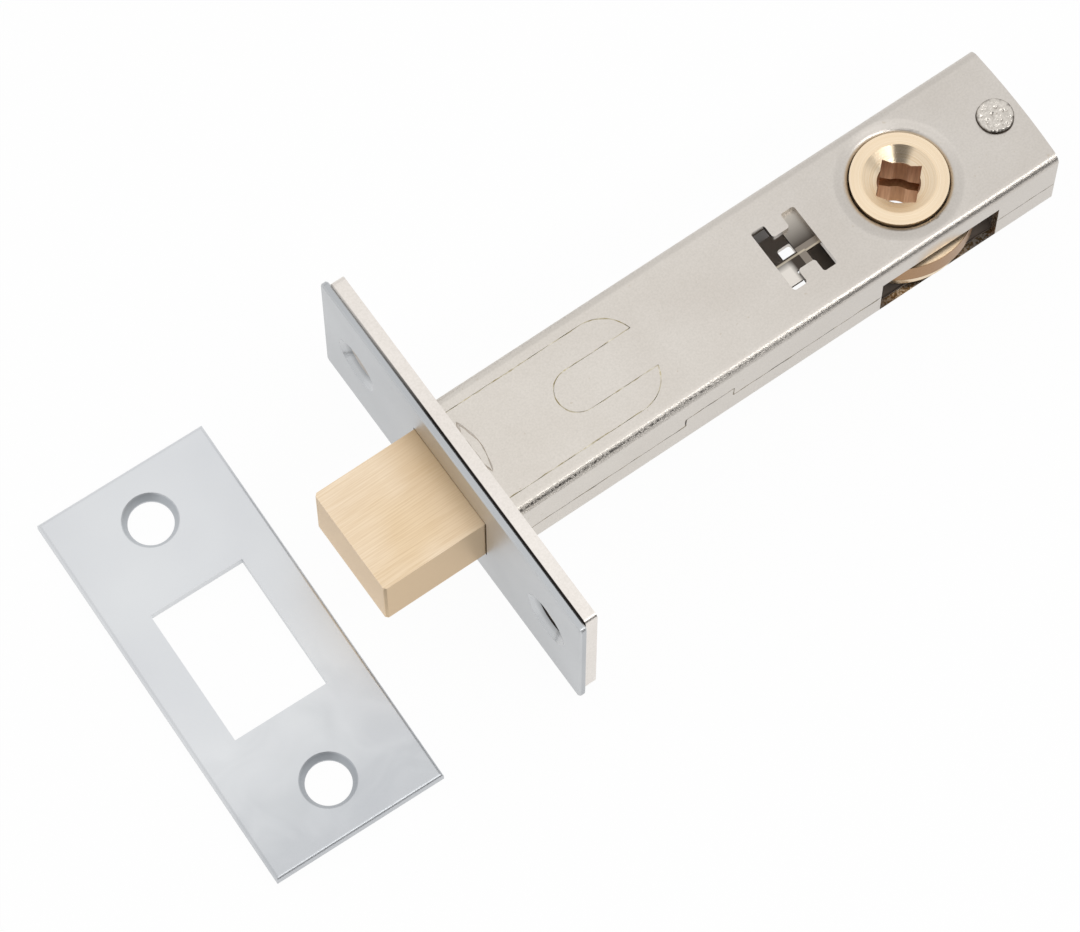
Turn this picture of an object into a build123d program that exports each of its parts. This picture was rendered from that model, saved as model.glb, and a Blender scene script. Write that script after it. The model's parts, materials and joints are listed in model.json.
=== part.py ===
from build123d import *
import math
import os

# Privacy bolt for a door, drawn with its bolt thrown, and the strike plate lying in front of it.
# The origin is the middle of the face plate's outer face. X runs the way the bolt is thrown,
# Y runs along the face plate and Z along the spindle that turns the hub. Sizes are in millimetres.

# Face plate and the forend plate behind it
plate_length = 57.0
plate_width = 25.0
face_plate_thickness = 1.0
forend_thickness = 2.0
forend_inset = 0.7
plate_corner_radius = 0.7
plate_edge_break = 0.2
forend_edge_break = 0.15
screw_spacing = 42.0
screw_hole_radius = 2.1
screw_sink_radius = 3.9
screw_sink_depth = 1.8

# Case of two folded shells
case_width = 19.0
case_thickness = 13.0
case_length = 85.5
case_sheet = 1.0
case_bend_radius = 1.3
case_end_bow = 0.35
seam_height = -1.3
seam_gap = 0.1
seam_tab_rise = 2.1
seam_tab_front = 26.9
seam_tab_length = 7.4

# Hub, its place behind the face plate and the square hole for the spindle
backset = 70.0
spindle_square = 5.2
spindle_drill_radius = 2.85
hub_boss_radius = 6.45
hub_boss_proud = 0.3
hub_sink_radius = 4.8
hub_sink_depth = 2.1
hub_waist_radius = 4.9
hub_shoulder_radius = 7.4
hub_shoulder_height = 0.45
hub_disc_radius = 10.4
hub_disc_top = 1.5
hub_disc_joint = -2.1
hub_disc_bottom = -4.6
hub_lower_rim_step = 0.6
hub_chamber_radius = 4.2
hub_chamber_height = 2.4
hub_rivet_radius = 1.0
hub_rivet_circle = 7.9
hub_rivet_angles = (75.0, 195.0)

# Holes in the case for the hub
hub_hole_clearance = 0.1
hub_collar_clearance = 0.15
hub_hole_mouth_radius = 0.75
side_window_length = 18.5
side_window_top = 2.4

# Bolt
bolt_width = 15.6
bolt_height = 10.8
bolt_projection = 15.3
bolt_head_length = 31.0
bolt_clearance = 0.1
bolt_corner_break = 0.35
bolt_throw = 14.0
hub_turn_degrees = 90.0

# Tail that joins the bolt to the hub
tail_thickness = 1.5
tail_over_disc = 0.3
tail_front_width = 12.0
tail_slot_depth = 10.5
tail_slot_clearance = 0.04
tail_strip_width = 3.2
tail_wall_clearance = 0.1
tail_taper_length = 14.0
tail_end_margin = 2.6
tail_pin_radius = 1.5
tail_pin_spacing = 4.8
tail_pin_edge = 3.2
drive_pin_radius = 0.9
drive_pin_edge = 0.35
drive_pin_head = 0.2
drive_pin_end_clearance = 0.2
pin_clearance = 0.02
running_clearance = 0.05

# Arms of the forend, let in flush with the case
arm_width = 14.0
arm_length = 26.9
arm_slot_width = 6.2
arm_slot_length = 13.3
arm_horn_run = 5.0
arm_inlay_gap = 0.07

# Windows shaped like an H in both wide faces of the case
h_window_from_hub = 16.65
h_window_length = 6.8
h_window_width = 9.6
h_window_leg = 2.1
h_window_bar = 5.4
h_window_corner = 0.4

# Friction spring that holds the tail where it is put
spring_sheet = 0.5
spring_plate_length = 5.0
spring_plate_edge = 0.9
spring_joggle_length = 0.9
spring_leaf_length = 11.0
spring_hook_clearance = 0.1
spring_hook_reach = 4.0

# Rivet that closes the back of the case
rear_rivet_from_end = 3.2
rear_rivet_radius = 1.6
rear_rivet_head_radius = 2.55
rear_rivet_head_height = 0.7
rear_rivet_head_round = 0.35
rear_spacer_wall = 0.9

# Strike plate and where it lies
strike_thickness = 1.5
strike_opening_length = 20.1
strike_opening_width = 13.9
strike_hole_radius = 3.05
strike_sink_radius = 3.8
strike_sink_depth = 1.1
strike_edge_round = 0.5
strike_center_x = 32.0
strike_center_y = -1.4
strike_turn_degrees = -1.4

# Places worked out from the sizes above
face_plate_back = -face_plate_thickness
forend_back = face_plate_back - forend_thickness
case_back = forend_back - case_length
case_top = case_thickness / 2
case_side = case_width / 2
cavity_top = case_top - case_sheet
cavity_side = case_side - case_sheet
hub_x = -backset
hub_end = case_top + hub_boss_proud
hub_hole_radius = hub_boss_radius + hub_hole_clearance
tail_bottom = hub_disc_top + tail_over_disc
tail_top = tail_bottom + tail_thickness
tail_outer_edge = -(cavity_side - tail_wall_clearance)
tail_inner_edge = tail_outer_edge + tail_strip_width
drive_pin_y = tail_outer_edge + drive_pin_edge + drive_pin_radius
drive_pin_x = hub_x + bolt_throw / 2
drive_pin_top = tail_top + drive_pin_head
hub_shoulder_top = drive_pin_top + running_clearance + hub_shoulder_height
h_window_x = hub_x + h_window_from_hub
rear_rivet_x = case_back + rear_rivet_from_end
bolt_rear = bolt_projection - bolt_head_length


def block(x_min, x_max, y_min, y_max, z_min, z_max):
    """A box given by its six faces."""
    size = (x_max - x_min, y_max - y_min, z_max - z_min)
    middle = ((x_min + x_max) / 2, (y_min + y_max) / 2, (z_min + z_max) / 2)
    return Pos(*middle) * Box(*size)


def post(radius, z_min, z_max):
    """A cylinder on the Z axis between two heights."""
    return Pos(0, 0, (z_min + z_max) / 2) * Cylinder(radius, z_max - z_min)


def turned(points):
    """A solid turned about the Z axis from (radius, height) points."""
    profile = make_face(Polyline([(radius, 0, height) for radius, height in points], close=True))
    return revolve(profile, Axis.Z)


def slab(outline, z_min, z_max):
    """A flat outline raised between two heights."""
    return Pos(0, 0, z_min) * extrude(outline, amount=z_max - z_min)


def upside_down(shape):
    """The same shape on the other side of the middle plane, for pieces used top and bottom."""
    return mirror(shape, about=Plane.XY)


# Face plate, forend plate and the arms behind it
def screw_cuts():
    """Both countersunk screw holes, cut along -X through the face plate and the forend plate."""
    cut = Rot(0, 90, 0) * turned([
        (0, 0),
        (screw_sink_radius, 0),
        (screw_hole_radius, -screw_sink_depth),
        (screw_hole_radius, forend_back),
        (0, forend_back),
    ])
    return [Pos(0, side * screw_spacing / 2, 0) * cut for side in (-1, 1)]


def upright_plate(front, thickness, length, width):
    """Plate across X with rounded corners."""
    outline = RectangleRounded(width, length, plate_corner_radius)
    return Pos(front, 0, 0) * Rot(0, -90, 0) * extrude(outline, amount=thickness)


def make_face_plate():
    plate = upright_plate(0, face_plate_thickness, plate_length, plate_width)
    faces = plate.faces().sort_by(Axis.X)
    plate = chamfer(faces[0].edges() + faces[-1].edges(), plate_edge_break)
    half_y = bolt_width / 2 + 2 * bolt_clearance
    half_z = bolt_height / 2 + 2 * bolt_clearance
    plate -= block(-plate_width, plate_width, -half_y, half_y, -half_z, half_z)
    for cut in screw_cuts():
        plate -= cut
    return plate


def make_forend_plate():
    length = plate_length - 2 * forend_inset
    plate = upright_plate(face_plate_back, forend_thickness, length, plate_width)
    plate = chamfer(plate.faces().sort_by(Axis.X)[-1].edges(), forend_edge_break)
    half_y = bolt_width / 2 + bolt_clearance
    half_z = bolt_height / 2 + bolt_clearance
    plate -= block(forend_back, face_plate_back, -half_y, half_y, -half_z, half_z)
    plate -= block(forend_back, face_plate_back, -arm_width / 2, arm_width / 2, -case_top, case_top)
    for cut in screw_cuts():
        plate -= cut
    return plate


def arm_outline():
    """Tongue seen from above: two horns with round backs on either side of a round-ended slot."""
    half = arm_width / 2
    slot_half = arm_slot_width / 2
    tip_x = forend_back - arm_length
    shoulder_x = tip_x + arm_horn_run
    slot_x = tip_x + arm_slot_length - slot_half
    backwards = (-1, 0)
    edge = [
        Line((face_plate_back, half), (shoulder_x, half)),
        TangentArc((shoulder_x, half), (tip_x, slot_half), tangent=backwards),
        Line((tip_x, slot_half), (slot_x, slot_half)),
        ThreePointArc((slot_x, slot_half), (slot_x + slot_half, 0), (slot_x, -slot_half)),
        Line((slot_x, -slot_half), (tip_x, -slot_half)),
        TangentArc((shoulder_x, -half), (tip_x, -slot_half), tangent=backwards),
        Line((shoulder_x, -half), (face_plate_back, -half)),
        Line((face_plate_back, -half), (face_plate_back, half)),
    ]
    return make_face(edge)


def make_arm():
    return slab(arm_outline(), cavity_top, case_top)


# Case shells
def case_tube():
    """Both shells as one flat tube, with the small bow of its back edge."""
    depth = case_length + case_end_bow
    outer = extrude(RectangleRounded(case_thickness, case_width, case_bend_radius), amount=depth)
    inner_size = (case_thickness - 2 * case_sheet, case_width - 2 * case_sheet)
    inner = extrude(RectangleRounded(*inner_size, case_bend_radius - case_sheet), amount=depth)
    tube = Pos(forend_back, 0, 0) * Rot(0, -90, 0) * (outer - inner)
    bowed_end = make_face([
        Line((forend_back, -case_width), (forend_back, case_width)),
        Line((forend_back, case_width), (case_back, case_width)),
        Line((case_back, case_width), (case_back, case_side)),
        ThreePointArc((case_back, case_side), (case_back - case_end_bow, 0), (case_back, -case_side)),
        Line((case_back, -case_side), (case_back, -case_width)),
        Line((case_back, -case_width), (forend_back, -case_width)),
    ])
    return tube & slab(bowed_end, -case_thickness, case_thickness)


def below_seam(gap):
    """Everything under the seam line, which steps up along the tab of the lower shell."""
    tab_front = forend_back - seam_tab_front
    tab_back = tab_front - seam_tab_length
    reach = case_width
    under = block(case_back - reach, reach, -reach, reach, -case_thickness, seam_height + gap)
    tab_top = seam_height + seam_tab_rise + gap
    return under + block(tab_back - gap, tab_front + gap, -reach, reach, seam_height, tab_top)


def h_outline():
    outline = Rectangle(h_window_length, h_window_width)
    tab_length = (h_window_width - h_window_bar) / 2
    for side in (-1, 1):
        middle = side * (h_window_bar + tab_length) / 2
        outline -= Pos(0, middle) * Rectangle(h_window_length - 2 * h_window_leg, tab_length)
    return fillet(outline.vertices(), h_window_corner)


def shell_openings(collar_end):
    """What is cut from the upper shell, or from the lower one turned over."""
    beyond = 2 * case_sheet
    cuts = [slab(offset(arm_outline(), arm_inlay_gap), cavity_top - beyond, case_top + beyond)]
    cuts.append(Pos(h_window_x, 0, 0) * slab(h_outline(), cavity_top - beyond, case_top + beyond))
    cuts.append(Pos(hub_x, 0, 0) * post(hub_hole_radius, collar_end - beyond, case_top + beyond))
    rivet_hole = post(rear_rivet_radius + pin_clearance, cavity_top - beyond, case_top + beyond)
    cuts.append(Pos(rear_rivet_x, 0, 0) * rivet_hole)
    return cuts


def hub_collar(collar_end):
    """Sheet drawn inwards round the hub hole, before the hole is cut."""
    return Pos(hub_x, 0, 0) * post(hub_hole_radius + case_sheet, collar_end, cavity_top)


def side_windows():
    half = side_window_length / 2
    windows = []
    for side in (-1, 1):
        y_min, y_max = sorted((side * cavity_side, side * case_width))
        windows.append(block(hub_x - half, hub_x + half, y_min, y_max, -cavity_top, side_window_top))
    return windows


def finish_shell(shell, collar_end):
    shell += hub_collar(collar_end)
    for cut in shell_openings(collar_end):
        shell -= cut
    mouth = shell.edges().filter_by(GeomType.CIRCLE)
    mouth = mouth.filter_by(lambda edge: abs(edge.radius - hub_hole_radius) < pin_clearance)
    return fillet(mouth.sort_by(Axis.Z)[-1], hub_hole_mouth_radius)


def make_upper_shell():
    shell = case_tube() - below_seam(seam_gap)
    for window in side_windows():
        shell -= window
    return finish_shell(shell, hub_shoulder_top + hub_collar_clearance)


def make_lower_shell():
    shell = case_tube() & below_seam(0)
    for window in side_windows():
        shell -= window
    collar_end = -(hub_disc_bottom - hub_collar_clearance)
    return upside_down(finish_shell(upside_down(shell), collar_end))


def make_rear_rivet():
    rivet = post(rear_rivet_radius, -case_top, case_top)
    head = post(rear_rivet_head_radius, case_top, case_top + rear_rivet_head_height)
    head = fillet(head.edges().sort_by(Axis.Z)[-1], rear_rivet_head_round)
    rivet += head
    rivet += upside_down(head)
    return Pos(rear_rivet_x, 0, 0) * rivet


def make_rear_spacer():
    bore_radius = rear_rivet_radius + pin_clearance
    spacer = post(bore_radius + rear_spacer_wall, -cavity_top, cavity_top)
    spacer -= post(bore_radius, -cavity_top, cavity_top)
    return Pos(rear_rivet_x, 0, 0) * spacer


# Bolt head, tail and their pins
def tail_pin_places():
    first = bolt_rear + tail_pin_edge
    return [first + tail_pin_spacing, first]


def make_bolt_head():
    half_y = bolt_width / 2
    half_z = bolt_height / 2
    head = block(bolt_rear, bolt_projection, -half_y, half_y, -half_z, half_z)
    upright_front = head.edges().filter_by(Axis.Z).sort_by(Axis.X)[-2:]
    head = chamfer(upright_front, bolt_corner_break)
    slot_front = bolt_rear + tail_slot_depth
    slot_low = tail_bottom - tail_slot_clearance
    slot_high = tail_top + tail_slot_clearance
    head -= block(bolt_rear, slot_front, -half_y, half_y, slot_low, slot_high)
    for place in tail_pin_places():
        head -= Pos(place, 0, 0) * post(tail_pin_radius + pin_clearance, -half_z, half_z)
    return head


def make_bolt_tail():
    front = bolt_rear + tail_slot_depth - tail_slot_clearance
    half = tail_front_width / 2
    taper_front = bolt_rear - tail_pin_edge
    strip_front = taper_front - tail_taper_length
    rear = drive_pin_x - tail_end_margin
    outline = make_face(Polyline([
        (front, half),
        (front, -half),
        (taper_front, -half),
        (strip_front + tail_strip_width, tail_outer_edge),
        (rear, tail_outer_edge),
        (rear, tail_inner_edge),
        (strip_front, tail_inner_edge),
        (taper_front, half),
    ], close=True))
    tail = slab(outline, tail_bottom, tail_top)
    for place in tail_pin_places():
        tail -= Pos(place, 0, 0) * post(tail_pin_radius + pin_clearance, tail_bottom, tail_top)
    pin_hole = post(drive_pin_radius + pin_clearance, tail_bottom, tail_top)
    return tail - Pos(drive_pin_x, drive_pin_y, 0) * pin_hole


def make_tail_pin(place):
    return Pos(place, 0, 0) * post(tail_pin_radius, -bolt_height / 2, bolt_height / 2)


def make_drive_pin():
    pin_end = hub_disc_joint + drive_pin_end_clearance
    return Pos(drive_pin_x, drive_pin_y, 0) * post(drive_pin_radius, pin_end, drive_pin_top)


# Hub of two turned halves
def spindle_hole():
    """Square hole on its corner, with the rounds left on each flat by the drill that led it."""
    square = Rot(0, 0, 45) * Rectangle(spindle_square, spindle_square)
    return slab(square + Circle(spindle_drill_radius), -2 * hub_end, 2 * hub_end)


def drive_slot_half_width():
    """Room that the pin needs in the straight slot, as the bolt moves evenly with the turn."""
    half_turn = math.radians(hub_turn_degrees / 2)
    steps = 24
    wander = 0.0
    for step in range(steps + 1):
        turn = half_turn * step / steps
        pin_along = bolt_throw / 2 * step / steps
        sideways = pin_along * math.cos(turn) + drive_pin_y * math.sin(turn)
        wander = max(wander, abs(sideways))
    return drive_pin_radius + wander + running_clearance


def drive_slot():
    """Slot from the waist out through the rim, pointing at the drive pin of the thrown bolt."""
    half = drive_slot_half_width()
    inner_end = abs(drive_pin_y)
    slot = block(inner_end, 2 * hub_disc_radius, -half, half, hub_disc_joint, hub_disc_top)
    slot += Pos(inner_end, 0, 0) * post(half, hub_disc_joint, hub_disc_top)
    return Rot(0, 0, hub_turn_degrees / 2 - 90) * slot


def hub_rivet_posts(radius):
    posts = []
    for angle in hub_rivet_angles:
        post_here = Pos(hub_rivet_circle, 0, 0) * post(radius, hub_disc_bottom, hub_disc_top)
        posts.append(Rot(0, 0, angle) * post_here)
    return posts


def make_upper_hub():
    shoulder_bottom = hub_shoulder_top - hub_shoulder_height
    half = turned([
        (0, hub_disc_joint),
        (hub_disc_radius, hub_disc_joint),
        (hub_disc_radius, hub_disc_top),
        (hub_waist_radius, hub_disc_top),
        (hub_waist_radius, shoulder_bottom),
        (hub_shoulder_radius, shoulder_bottom),
        (hub_shoulder_radius, hub_shoulder_top),
        (hub_boss_radius, hub_shoulder_top),
        (hub_boss_radius, hub_end),
        (hub_sink_radius, hub_end),
        (hub_sink_radius - hub_sink_depth, hub_end - hub_sink_depth),
        (0, hub_end - hub_sink_depth),
    ])
    half -= spindle_hole()
    half -= post(hub_chamber_radius, hub_disc_joint, hub_disc_joint + hub_chamber_height)
    half -= drive_slot()
    for hole in hub_rivet_posts(hub_rivet_radius + pin_clearance):
        half -= hole
    return Pos(hub_x, 0, 0) * half


def make_lower_hub():
    """The half with a smaller rim and a plain end, whose square hole runs straight through it."""
    rim_radius = hub_disc_radius - hub_lower_rim_step
    half = turned([
        (0, hub_disc_joint),
        (rim_radius, hub_disc_joint),
        (rim_radius, hub_disc_bottom),
        (hub_boss_radius, hub_disc_bottom),
        (hub_boss_radius, -hub_end),
        (0, -hub_end),
    ])
    half -= spindle_hole()
    for hole in hub_rivet_posts(hub_rivet_radius + pin_clearance):
        half -= hole
    return Pos(hub_x, 0, 0) * half


# Friction spring under the upper shell
def make_friction_spring():
    """Strip that hooks into the H window, lies under the shell and bears on the tail's edge."""
    bar_rear = h_window_x - h_window_length / 2 + h_window_leg
    leg_front = h_window_x + h_window_length / 2 - spring_hook_clearance
    leg_rear = leg_front - h_window_leg + 2 * spring_hook_clearance
    bar_near = h_window_bar / 2 - spring_hook_clearance
    joggle_rear = bar_rear + spring_hook_clearance
    joggle_front = joggle_rear + spring_joggle_length
    joggle_far = spring_plate_edge - spring_sheet
    plate_rear = joggle_front - spring_plate_length
    plate_low = cavity_top - spring_sheet
    hook_top = cavity_top + spring_sheet
    leaf_far = tail_inner_edge + running_clearance
    leaf_near = leaf_far + spring_sheet
    leaf_front = plate_rear + spring_leaf_length
    spring = block(plate_rear, joggle_front, leaf_far, spring_plate_edge, plate_low, cavity_top)
    spring += block(plate_rear, leaf_front, leaf_far, leaf_near, tail_bottom, cavity_top)
    spring += block(joggle_rear, joggle_front, joggle_far, spring_plate_edge, plate_low, hook_top)
    spring += block(joggle_rear, leg_front, joggle_far, bar_near, cavity_top, hook_top)
    spring += block(leg_rear, leg_front, spring_plate_edge, spring_hook_reach, cavity_top, hook_top)
    return spring


# Strike plate
def make_strike_plate():
    """Plate with square corners, rolled off along the edges of its upper face."""
    plate = Box(plate_width, plate_length, strike_thickness)
    plate = fillet(plate.faces().sort_by(Axis.Z)[-1].edges(), strike_edge_round)
    plate -= Box(strike_opening_width, strike_opening_length, 2 * strike_thickness)
    top = strike_thickness / 2
    hole = turned([
        (0, top),
        (strike_sink_radius, top),
        (strike_hole_radius, top - strike_sink_depth),
        (strike_hole_radius, -top),
        (0, -top),
    ])
    for side in (-1, 1):
        plate -= Pos(0, side * screw_spacing / 2, 0) * hole
    rest_height = -plate_width / 2 + strike_thickness / 2
    place = Pos(strike_center_x, strike_center_y, rest_height) * Rot(0, 0, strike_turn_degrees)
    return place * plate


def all_pieces():
    pieces = {
        "face_plate": make_face_plate(),
        "forend_plate": make_forend_plate(),
        "upper_forend_arm": make_arm(),
        "lower_forend_arm": upside_down(make_arm()),
        "upper_case_shell": make_upper_shell(),
        "lower_case_shell": make_lower_shell(),
        "rear_rivet": make_rear_rivet(),
        "rear_spacer": make_rear_spacer(),
        "friction_spring": make_friction_spring(),
        "bolt_head": make_bolt_head(),
        "bolt_tail": make_bolt_tail(),
        "drive_pin": make_drive_pin(),
        "upper_hub_half": make_upper_hub(),
        "lower_hub_half": make_lower_hub(),
        "strike_plate": make_strike_plate(),
    }
    for name, place in zip(("front_tail_pin", "rear_tail_pin"), tail_pin_places()):
        pieces[name] = make_tail_pin(place)
    for number, rivet in enumerate(hub_rivet_posts(hub_rivet_radius), start=1):
        pieces[f"hub_rivet_{number}"] = Pos(hub_x, 0, 0) * rivet
    return pieces


os.makedirs("parts", exist_ok=True)
for name, piece in all_pieces().items():
    export_step(piece, f"parts/{name}.step")
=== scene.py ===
import json
import math

import bpy
import numpy as np
from mathutils import Matrix, Vector


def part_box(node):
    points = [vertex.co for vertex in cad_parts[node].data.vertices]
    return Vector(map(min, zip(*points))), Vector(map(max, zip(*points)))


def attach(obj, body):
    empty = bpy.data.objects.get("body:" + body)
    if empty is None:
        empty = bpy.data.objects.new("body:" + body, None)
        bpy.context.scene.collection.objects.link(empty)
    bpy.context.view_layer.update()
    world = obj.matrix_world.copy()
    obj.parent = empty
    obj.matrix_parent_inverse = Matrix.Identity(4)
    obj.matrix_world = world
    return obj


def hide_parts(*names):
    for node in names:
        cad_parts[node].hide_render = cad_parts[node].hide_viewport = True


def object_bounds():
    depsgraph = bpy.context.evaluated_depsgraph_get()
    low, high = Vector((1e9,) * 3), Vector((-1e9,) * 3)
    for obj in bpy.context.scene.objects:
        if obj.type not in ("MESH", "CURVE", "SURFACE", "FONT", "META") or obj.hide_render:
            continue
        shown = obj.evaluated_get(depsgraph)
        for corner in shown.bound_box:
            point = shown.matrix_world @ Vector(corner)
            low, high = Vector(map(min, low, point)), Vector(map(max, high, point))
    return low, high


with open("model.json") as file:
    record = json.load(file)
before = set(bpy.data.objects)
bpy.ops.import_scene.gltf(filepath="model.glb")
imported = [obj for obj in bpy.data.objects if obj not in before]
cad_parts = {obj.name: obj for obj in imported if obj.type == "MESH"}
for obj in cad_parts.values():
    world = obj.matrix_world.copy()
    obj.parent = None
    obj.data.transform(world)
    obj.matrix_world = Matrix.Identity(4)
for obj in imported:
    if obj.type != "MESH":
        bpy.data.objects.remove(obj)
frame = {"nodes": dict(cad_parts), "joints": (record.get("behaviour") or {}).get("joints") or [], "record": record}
cad_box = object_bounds()
scene = bpy.context.scene


# Case shells
# Two folded steel sheets that close on each other at the stepped seam. They are dull nickel plated,
# and the sheet's skin is crazed where it was drawn round the fold, most of all near the forend.
# A painted dark reflection lies in flakes along the near fold.
# Painted shade darkens the inner faces under a dull film.
def paint(hex_colour):
    """An sRGB hex colour as linear red, green, blue and alpha."""
    values = np.array([int(hex_colour[i:i + 2], 16) / 255 for i in (1, 3, 5)])
    linear = np.where(values <= 0.04045, values / 12.92, ((values + 0.055) / 1.055) ** 2.4)
    return (*linear.tolist(), 1.0)


def per_metre(millimetres):
    """How often a pattern of that size repeats in a metre, which is a texture's scale."""
    return 1000 / millimetres


def add(material, kind, sockets=None, stops=(), **settings):
    """Adds a node. Settings go on it, sockets take values or nodes, and stops are a ramp's.

    A node given as a value stands for its first output in use. Sockets whose names repeat go by
    number: 1 to 4 are a Map Range's two ranges, and 0, 6 and 7 a Mix's share and its two colours.
    """
    node = material.node_tree.nodes.new(kind)
    for name, value in settings.items():
        setattr(node, name, value)
    for socket, value in (sockets or {}).items():
        if isinstance(value, bpy.types.Node):
            value = next(output for output in value.outputs if output.enabled)
        if isinstance(value, bpy.types.NodeSocket):
            material.node_tree.links.new(value, node.inputs[socket])
        else:
            node.inputs[socket].default_value = value
    for place, (position, colour) in enumerate(stops):
        if place > 1:
            node.color_ramp.elements.new(1.0)
        node.color_ramp.elements[place].position = position
        node.color_ramp.elements[place].color = paint(colour)
    return node


def new_finish(name):
    """A material with no nodes yet."""
    material = bpy.data.materials.new(name)
    material.use_nodes = True
    material.node_tree.nodes.clear()
    return material


def finish_node(node, material):
    """Gives a node of the frame its finish. Its shape and its normals stay as they are."""
    for slot in frame["nodes"][node].material_slots:
        slot.material = material


case_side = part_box("upper_case_shell")[1][1]
case_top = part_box("upper_forend_arm")[1][2]
sheet = 0.001
inner_side = case_side - sheet
inner_top = case_top - sheet
# How far a place may lie off a face and still count as on it.
margin = 0.00003
hub_axis = frame["joints"][0]["pos_m"]
dish_inner, dish_outer, dish_depth = 0.0068, 0.0086, 0.0004


def nickel_plate(name, front, rear, peel_height, fold_height, marks=(), inner_shade=None):
    """Dull nickel on steel, a soft grey with a fine peel and a few rust-coloured specks.

    Each of the marks is a colour and a function that gives the share of it on a place. Inner shade
    gives the share of a dull film of painted shade that hides the metal.
    """
    nickel = new_finish(name)
    where = add(nickel, "ShaderNodeTexCoord").outputs["Object"]
    axes = add(nickel, "ShaderNodeSeparateXYZ", {"Vector": where})
    along = add(nickel, "ShaderNodeMapRange", {"Value": axes.outputs["X"], 1: -0.06, 2: 0.0})
    tone = add(nickel, "ShaderNodeValToRGB", {"Fac": along}, [(0.0, rear), (1.0, front)])
    # Soft clouds some 9 mm across, which are just visible.
    clouds = add(nickel, "ShaderNodeTexNoise", {"Vector": where, "Scale": per_metre(9), "Detail": 2.0})
    shade = add(nickel, "ShaderNodeValToRGB", {"Fac": clouds}, [(0.3, "#F6F5F4"), (0.7, "#FFFFFF")])
    colour = add(nickel, "ShaderNodeMix", {
        0: 1.0, 6: tone, 7: shade,
    }, data_type="RGBA", blend_type="MULTIPLY")
    # The peel is really about 0.1 mm across. It is drawn at 0.28 mm, because finer doesn't show.
    peel = add(nickel, "ShaderNodeTexNoise", {
        "Vector": where, "Scale": per_metre(0.28), "Detail": 3.0, "Roughness": 0.6,
    })
    grain = add(nickel, "ShaderNodeValToRGB", {"Fac": peel}, [(0.3, "#F5F5F4"), (0.65, "#FFFFFF")])
    colour = add(nickel, "ShaderNodeMix", {
        0: 1.0, 6: colour, 7: grain,
    }, data_type="RGBA", blend_type="MULTIPLY")
    # Specks of 0.3 mm, where the plate is thin and the steel has stained.
    specks = add(nickel, "ShaderNodeTexNoise", {"Vector": where, "Scale": per_metre(0.8), "Detail": 1.0})
    stained = add(nickel, "ShaderNodeMapRange", {"Value": specks, 1: 0.74, 2: 0.78, 4: 0.22})
    colour = add(nickel, "ShaderNodeMix", {
        0: stained, 6: colour, 7: paint("#A8946C"),
    }, data_type="RGBA")
    for mark_colour, share in marks:
        colour = add(nickel, "ShaderNodeMix", {
            0: share(nickel, axes), 6: colour, 7: paint(mark_colour),
        }, data_type="RGBA")
    skin = add(nickel, "ShaderNodeBump", {"Strength": 1.0, "Distance": peel_height, "Height": peel})
    # Round the hub the sheet is pressed in a little, which catches the light as a soft ring.
    centred = add(nickel, "ShaderNodeVectorMath", {0: where, 1: hub_axis}, operation="SUBTRACT")
    flat = add(nickel, "ShaderNodeVectorMath", {0: centred, 1: (1, 1, 0)}, operation="MULTIPLY")
    reach = add(nickel, "ShaderNodeVectorMath", {0: flat}, operation="LENGTH")
    dish = add(nickel, "ShaderNodeMapRange", {
        "Value": reach, 1: dish_inner, 2: dish_outer,
    }, interpolation_type="SMOOTHSTEP")
    skin = add(nickel, "ShaderNodeBump", {
        "Strength": 1.0, "Distance": dish_depth, "Height": dish, "Normal": skin,
    })
    # On the outside of the fold the skin is crazed, and the crazing fades towards the rear.
    side = add(nickel, "ShaderNodeMath", {0: axes.outputs["Y"]}, operation="ABSOLUTE")
    out = add(nickel, "ShaderNodeMapRange", {"Value": side, 1: case_side - 0.0009, 2: case_side - 0.0005})
    under = add(nickel, "ShaderNodeMapRange", {
        "Value": axes.outputs["Z"], 1: case_top - 0.0014, 2: case_top - 0.0009,
    })
    fold = add(nickel, "ShaderNodeMath", {0: out, 1: under}, operation="MULTIPLY")
    near = add(nickel, "ShaderNodeMapRange", {"Value": axes.outputs["X"], 1: -0.055, 2: -0.005, 3: 0.2})
    crazed = add(nickel, "ShaderNodeMath", {0: fold, 1: near}, operation="MULTIPLY")
    crazing = add(nickel, "ShaderNodeTexNoise", {
        "Vector": where, "Scale": per_metre(0.35), "Detail": 4.0, "Roughness": 0.7,
    })
    wave = add(nickel, "ShaderNodeMath", {0: crazing, 1: 0.5}, operation="SUBTRACT")
    height = add(nickel, "ShaderNodeMath", {0: wave, 1: crazed}, operation="MULTIPLY")
    skin = add(nickel, "ShaderNodeBump", {
        "Strength": 1.0, "Distance": fold_height, "Height": height, "Normal": skin,
    })
    dull = add(nickel, "ShaderNodeMapRange", {"Value": clouds, 1: 0.3, 2: 0.7, 3: 0.30, 4: 0.36})
    surface = add(nickel, "ShaderNodeBsdfPrincipled", {
        "Base Color": colour, "Metallic": 1.0, "Roughness": dull, "Normal": skin,
    })
    if inner_shade:
        # Painted shade: the film is dark from the hub to the rear, and pale ahead of the hub.
        ahead = add(nickel, "ShaderNodeMapRange", {"Value": axes.outputs["X"], 1: -0.0605, 2: -0.057})
        inner_tone = add(nickel, "ShaderNodeValToRGB", {"Fac": ahead}, [(0.0, "#6B625B"), (1.0, "#CFC5BC")])
        film = add(nickel, "ShaderNodeBsdfPrincipled", {"Base Color": inner_tone, "Roughness": 0.6})
        surface = add(nickel, "ShaderNodeMixShader", {0: inner_shade(nickel, axes), 1: surface, 2: film})
    add(nickel, "ShaderNodeOutputMaterial", {"Surface": surface})
    return nickel


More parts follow.
